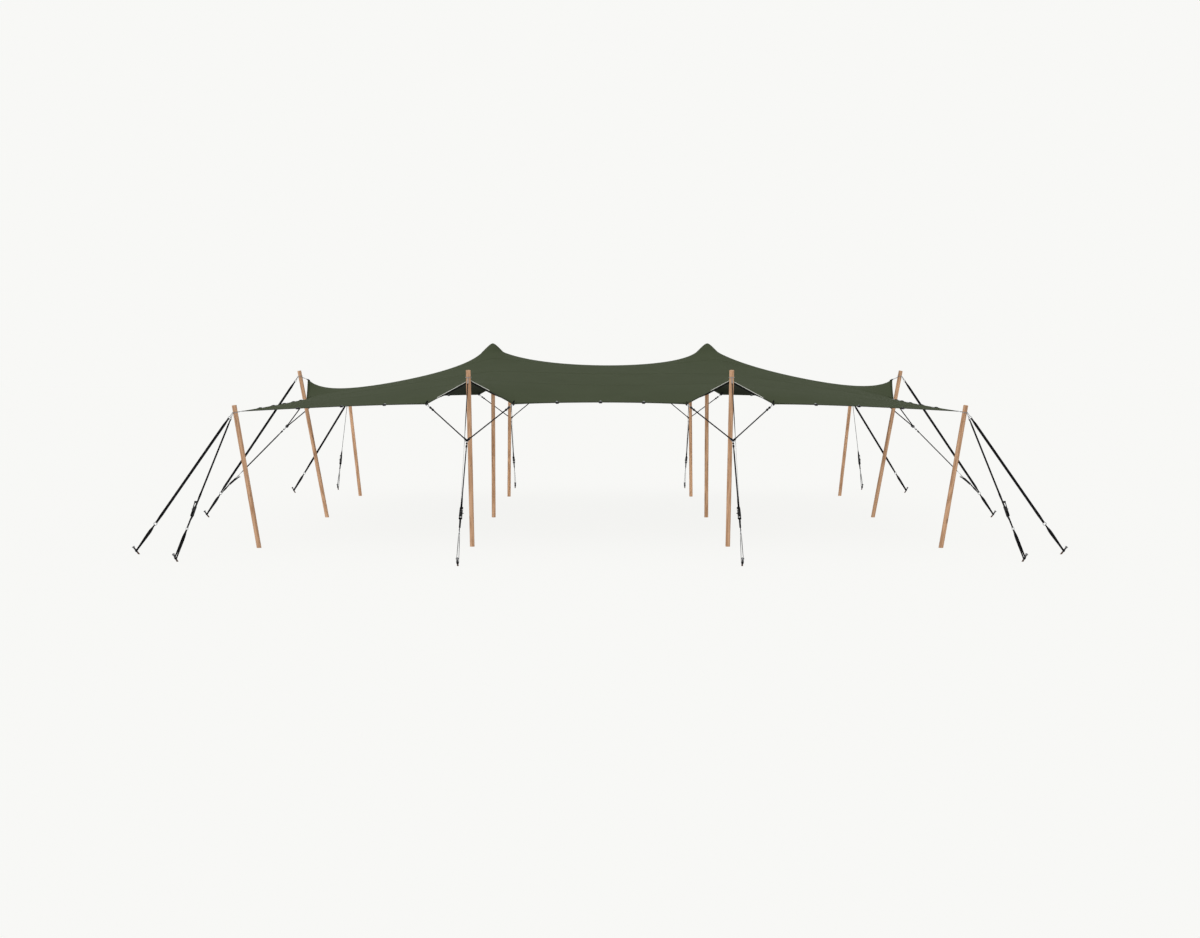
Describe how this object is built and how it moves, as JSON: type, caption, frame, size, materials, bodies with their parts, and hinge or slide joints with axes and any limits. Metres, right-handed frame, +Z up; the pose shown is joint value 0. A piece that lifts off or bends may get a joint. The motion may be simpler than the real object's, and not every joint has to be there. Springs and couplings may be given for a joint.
{
  "type": "stretch tent",
  "caption": "Open-sided stretch tent: a tensioned cloth canopy with two peaks on wooden poles, held by webbing stays, ratchets and ground stakes.",
  "frame": {"origin": "on the ground under the middle of the canopy", "axes": "+X along the long side, +Z up, -Y the front"},
  "size_m": [16.5628, 15.0228, 3.62],
  "materials": {
    "canopy": "matt woven stretch cloth with a thin coating",
    "poles": "smooth turned softwood, oiled",
    "pads": "matt",
    "webbing": "woven polyester webbing with steel rings and ratchets",
    "handles": "satin black coating",
    "stakes": "dull dark steel"
  },
  "bodies": {
    "tent": {"canopy": "canopy", "crown_pad_left": "pads", "crown_pad_right": "pads", "pole_corner_front_left": "poles", "pole_corner_front_right": "poles", "pole_corner_back_left": "poles", "pole_corner_back_right": "poles", "pole_side_left": "poles", "pole_side_right": "poles", "pole_mid_front_left": "poles", "pole_mid_front_right": "poles", "pole_mid_back_left": "poles", "pole_mid_back_right": "poles", "pole_centre_left": "poles", "pole_centre_right": "poles", "stays_corner_front_left": "webbing", "stays_corner_front_right": "webbing", "stays_corner_back_left": "webbing", "stays_corner_back_right": "webbing", "stays_side_left": "webbing", "stays_side_right": "webbing", "stays_mid_front_left": "webbing", "stays_mid_front_right": "webbing", "stays_mid_back_left": "webbing", "stays_mid_back_right": "webbing", "stake_corner_front_left_a": "stakes", "stake_corner_front_left_b": "stakes", "stake_corner_front_right_a": "stakes", "stake_corner_front_right_b": "stakes", "stake_corner_back_left_a": "stakes", "stake_corner_back_left_b": "stakes", "stake_corner_back_right_a": "stakes", "stake_corner_back_right_b": "stakes", "stake_side_left": "stakes", "stake_side_right": "stakes", "stake_mid_front_left": "stakes", "stake_mid_front_right": "stakes", "stake_mid_back_left": "stakes", "stake_mid_back_right": "stakes"},
    "handle_corner_front_left": {"handle_corner_front_left": "handles"},
    "handle_corner_front_right": {"handle_corner_front_right": "handles"},
    "handle_corner_back_left": {"handle_corner_back_left": "handles"},
    "handle_corner_back_right": {"handle_corner_back_right": "handles"},
    "handle_side_left": {"handle_side_left": "handles"},
    "handle_side_right": {"handle_side_right": "handles"},
    "handle_mid_front_left": {"handle_mid_front_left": "handles"},
    "handle_mid_front_right": {"handle_mid_front_right": "handles"},
    "handle_mid_back_left": {"handle_mid_back_left": "handles"},
    "handle_mid_back_right": {"handle_mid_back_right": "handles"}
  },
  "joints": [
    {"name": "swing_corner_front_left", "type": "hinge", "parent": "tent", "child": "handle_corner_front_left", "pos_m": [-6.61698, -6.5061, 0.7], "axis": [0.942, -0.3357, 0], "range_deg": [0, 150]},
    {"name": "swing_corner_front_right", "type": "hinge", "parent": "tent", "child": "handle_corner_front_right", "pos_m": [6.61698, -6.5061, 0.7], "axis": [0.942, 0.3357, 0], "range_deg": [0, 150]},
    {"name": "swing_corner_back_left", "type": "hinge", "parent": "tent", "child": "handle_corner_back_left", "pos_m": [-6.61698, 6.5061, 0.7], "axis": [-0.942, -0.3357, 0], "range_deg": [0, 150]},
    {"name": "swing_corner_back_right", "type": "hinge", "parent": "tent", "child": "handle_corner_back_right", "pos_m": [6.61698, 6.5061, 0.7], "axis": [-0.942, 0.3357, 0], "range_deg": [0, 150]},
    {"name": "swing_side_left", "type": "hinge", "parent": "tent", "child": "handle_side_left", "pos_m": [-7.71419, 0, 0.7], "axis": [0, 1, 0], "range_deg": [0, 150]},
    {"name": "swing_side_right", "type": "hinge", "parent": "tent", "child": "handle_side_right", "pos_m": [7.71419, 0, 0.7], "axis": [0, -1, 0], "range_deg": [0, 150]},
    {"name": "swing_mid_front_left", "type": "hinge", "parent": "tent", "child": "handle_mid_front_left", "pos_m": [-2.22, -6.94754, 0.7], "axis": [-1, 0, 0], "range_deg": [0, 150]},
    {"name": "swing_mid_front_right", "type": "hinge", "parent": "tent", "child": "handle_mid_front_right", "pos_m": [2.22, -6.94754, 0.7], "axis": [-1, 0, 0], "range_deg": [0, 150]},
    {"name": "swing_mid_back_left", "type": "hinge", "parent": "tent", "child": "handle_mid_back_left", "pos_m": [-2.22, 6.94754, 0.7], "axis": [1, 0, 0], "range_deg": [0, 150]},
    {"name": "swing_mid_back_right", "type": "hinge", "parent": "tent", "child": "handle_mid_back_right", "pos_m": [2.22, 6.94754, 0.7], "axis": [1, 0, 0], "range_deg": [0, 150]}
  ]
}
